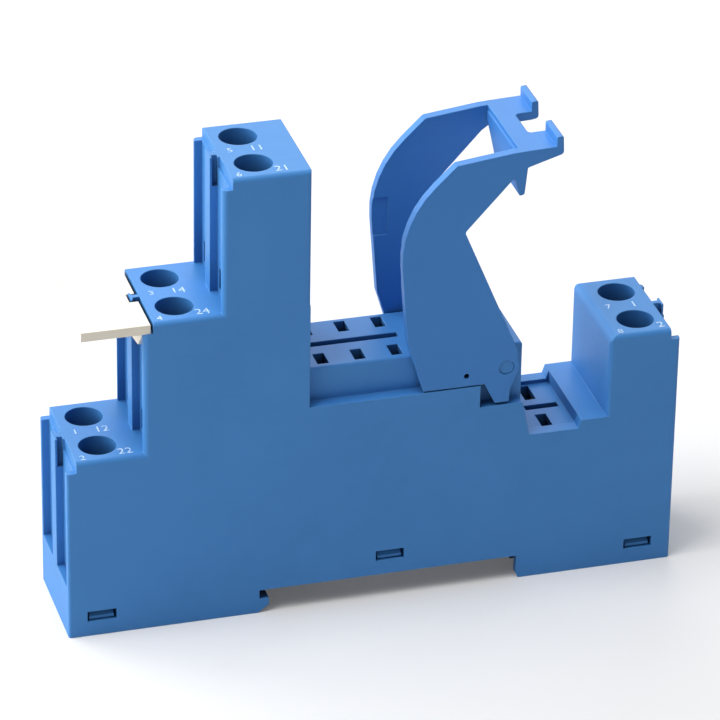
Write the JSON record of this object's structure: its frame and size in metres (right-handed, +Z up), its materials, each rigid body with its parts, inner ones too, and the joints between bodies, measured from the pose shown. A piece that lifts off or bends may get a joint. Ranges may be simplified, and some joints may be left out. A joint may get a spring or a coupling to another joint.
{
  "type": "relay socket",
  "caption": "Narrow stepped relay socket for a 35 mm rail, with box-clamp screw terminals, a relay platform, a module bay and a hinged retaining clip.",
  "frame": {"origin": "middle of the underside, between the feet", "axes": "+X along the rail's width, from the low terminal step towards the single end tower; +Y across the socket; +Z up from the feet, away from the rail"},
  "size_m": [0.0826, 0.0158, 0.065],
  "materials": {
    "blue_plastic": "fine satin moulding, mid blue",
    "blue_plastic_base": "fine satin moulding, mid blue",
    "blue_plastic_clip": "fine satin moulding, mid blue",
    "ivory_plastic": "smooth off-white moulding",
    "zinc_plated_steel": "bright zinc plating",
    "cage_steel": "dull zinc plating",
    "contact_brass": "rolled strip, edges sheared"
  },
  "bodies": {
    "socket": {"housing": "blue_plastic", "base_plate": "blue_plastic_base", "marker_tag": "ivory_plastic", "contact_bar_1": "contact_brass", "contact_bar_2": "contact_brass", "contact_bar_3": "contact_brass", "contact_bar_4": "contact_brass", "contact_bar_5": "contact_brass", "contact_bar_6": "contact_brass", "contact_bar_7": "contact_brass", "contact_bar_8": "contact_brass"},
    "clip": {"retaining_clip": "blue_plastic_clip"},
    "screw_1": {"terminal_screw_1": "zinc_plated_steel"},
    "cage_1": {"clamp_cage_1": "cage_steel"},
    "screw_2": {"terminal_screw_2": "zinc_plated_steel"},
    "cage_2": {"clamp_cage_2": "cage_steel"},
    "screw_3": {"terminal_screw_3": "zinc_plated_steel"},
    "cage_3": {"clamp_cage_3": "cage_steel"},
    "screw_4": {"terminal_screw_4": "zinc_plated_steel"},
    "cage_4": {"clamp_cage_4": "cage_steel"},
    "screw_5": {"terminal_screw_5": "zinc_plated_steel"},
    "cage_5": {"clamp_cage_5": "cage_steel"},
    "screw_6": {"terminal_screw_6": "zinc_plated_steel"},
    "cage_6": {"clamp_cage_6": "cage_steel"},
    "screw_7": {"terminal_screw_7": "zinc_plated_steel"},
    "cage_7": {"clamp_cage_7": "cage_steel"},
    "screw_8": {"terminal_screw_8": "zinc_plated_steel"},
    "cage_8": {"clamp_cage_8": "cage_steel"}
  },
  "joints": [
    {"name": "clip_hinge", "type": "hinge", "parent": "socket", "child": "clip", "pos_m": [0.0175, 0, 0.03225], "axis": [0, 1, 0], "range_deg": [0, 23]},
    {"name": "screw_1_turn", "type": "hinge", "parent": "socket", "child": "screw_1", "pos_m": [-0.03635, -0.0039, 0.0191], "axis": [0, 0, -1], "range_deg": [0, 2160]},
    {"name": "cage_1_rise", "type": "slide", "parent": "socket", "child": "cage_1", "axis": [0, 0, 1], "range_m": [0, 0.003]},
    {"name": "screw_2_turn", "type": "hinge", "parent": "socket", "child": "screw_2", "pos_m": [-0.0261, -0.0039, 0.0381], "axis": [0, 0, -1], "range_deg": [0, 2160]},
    {"name": "cage_2_rise", "type": "slide", "parent": "socket", "child": "cage_2", "axis": [0, 0, 1], "range_m": [0, 0.003]},
    {"name": "screw_3_turn", "type": "hinge", "parent": "socket", "child": "screw_3", "pos_m": [-0.01575, -0.0039, 0.0572], "axis": [0, 0, -1], "range_deg": [0, 2160]},
    {"name": "cage_3_rise", "type": "slide", "parent": "socket", "child": "cage_3", "axis": [0, 0, 1], "range_m": [0, 0.003]},
    {"name": "screw_4_turn", "type": "hinge", "parent": "socket", "child": "screw_4", "pos_m": [0.03635, -0.0039, 0.0279], "axis": [0, 0, -1], "range_deg": [0, 2160]},
    {"name": "cage_4_rise", "type": "slide", "parent": "socket", "child": "cage_4", "axis": [0, 0, 1], "range_m": [0, 0.003]},
    {"name": "screw_5_turn", "type": "hinge", "parent": "socket", "child": "screw_5", "pos_m": [-0.03635, 0.0039, 0.0191], "axis": [0, 0, -1], "range_deg": [0, 2160]},
    {"name": "cage_5_rise", "type": "slide", "parent": "socket", "child": "cage_5", "axis": [0, 0, 1], "range_m": [0, 0.003]},
    {"name": "screw_6_turn", "type": "hinge", "parent": "socket", "child": "screw_6", "pos_m": [-0.0261, 0.0039, 0.0381], "axis": [0, 0, -1], "range_deg": [0, 2160]},
    {"name": "cage_6_rise", "type": "slide", "parent": "socket", "child": "cage_6", "axis": [0, 0, 1], "range_m": [0, 0.003]},
    {"name": "screw_7_turn", "type": "hinge", "parent": "socket", "child": "screw_7", "pos_m": [-0.01575, 0.0039, 0.0572], "axis": [0, 0, -1], "range_deg": [0, 2160]},
    {"name": "cage_7_rise", "type": "slide", "parent": "socket", "child": "cage_7", "axis": [0, 0, 1], "range_m": [0, 0.003]},
    {"name": "screw_8_turn", "type": "hinge", "parent": "socket", "child": "screw_8", "pos_m": [0.03635, 0.0039, 0.0279], "axis": [0, 0, -1], "range_deg": [0, 2160]},
    {"name": "cage_8_rise", "type": "slide", "parent": "socket", "child": "cage_8", "axis": [0, 0, 1], "range_m": [0, 0.003]}
  ],
  "couplings": [
    {"joint": "screw_1_turn", "follows": "cage_1_rise", "rad_per_m": 12566},
    {"joint": "screw_2_turn", "follows": "cage_2_rise", "rad_per_m": 12566},
    {"joint": "screw_3_turn", "follows": "cage_3_rise", "rad_per_m": 12566},
    {"joint": "screw_4_turn", "follows": "cage_4_rise", "rad_per_m": 12566},
    {"joint": "screw_5_turn", "follows": "cage_5_rise", "rad_per_m": 12566},
    {"joint": "screw_6_turn", "follows": "cage_6_rise", "rad_per_m": 12566},
    {"joint": "screw_7_turn", "follows": "cage_7_rise", "rad_per_m": 12566},
    {"joint": "screw_8_turn", "follows": "cage_8_rise", "rad_per_m": 12566}
  ]
}
